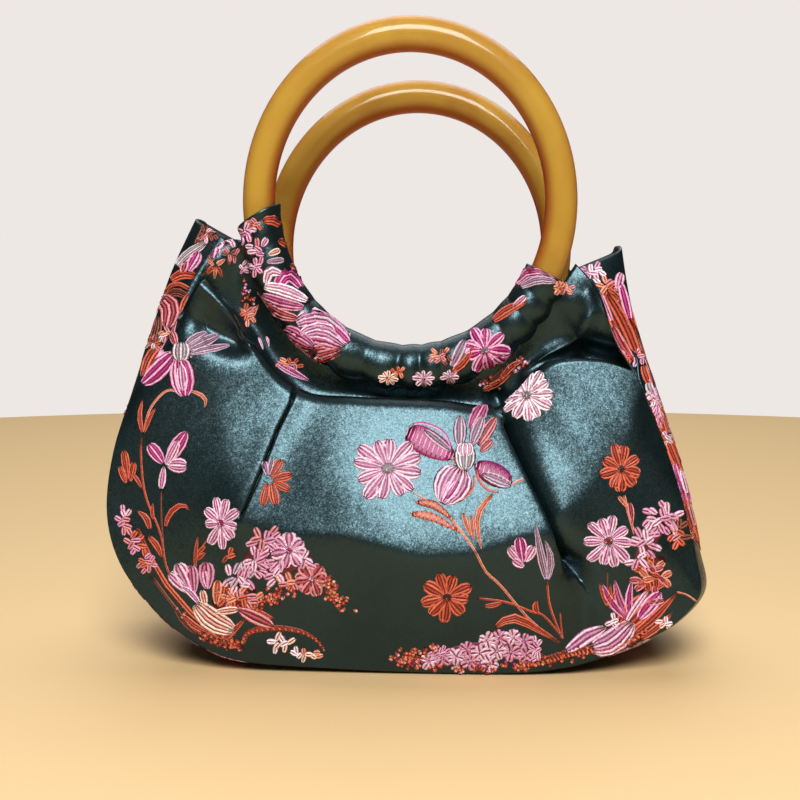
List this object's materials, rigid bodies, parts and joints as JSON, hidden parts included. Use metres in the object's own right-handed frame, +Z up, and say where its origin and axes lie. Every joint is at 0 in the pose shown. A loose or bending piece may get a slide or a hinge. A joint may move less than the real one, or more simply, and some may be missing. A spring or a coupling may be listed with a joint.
{
  "type": "handbag",
  "caption": "Soft pleated brocade pouch handbag with resin ring handles held in gathered sleeves; stands on its flat base, open at the top.",
  "frame": {"origin": "on the ground under the middle of the bag", "axes": "+Z up, +X to the right seen from the front, front towards -Y"},
  "size_m": [0.2348, 0.1066, 0.2513],
  "materials": {
    "amber_resin": "polished amber resin",
    "brocade": "dark green satin brocade with woven flowers in pink, magenta and rust"
  },
  "bodies": {
    "root": {"front_ring": "amber_resin", "back_ring": "amber_resin", "front_casing": "brocade", "back_casing": "brocade", "front_yoke": "brocade", "back_yoke": "brocade", "front_panel": "brocade", "back_panel": "brocade", "gusset": "brocade"}
  },
  "joints": []
}
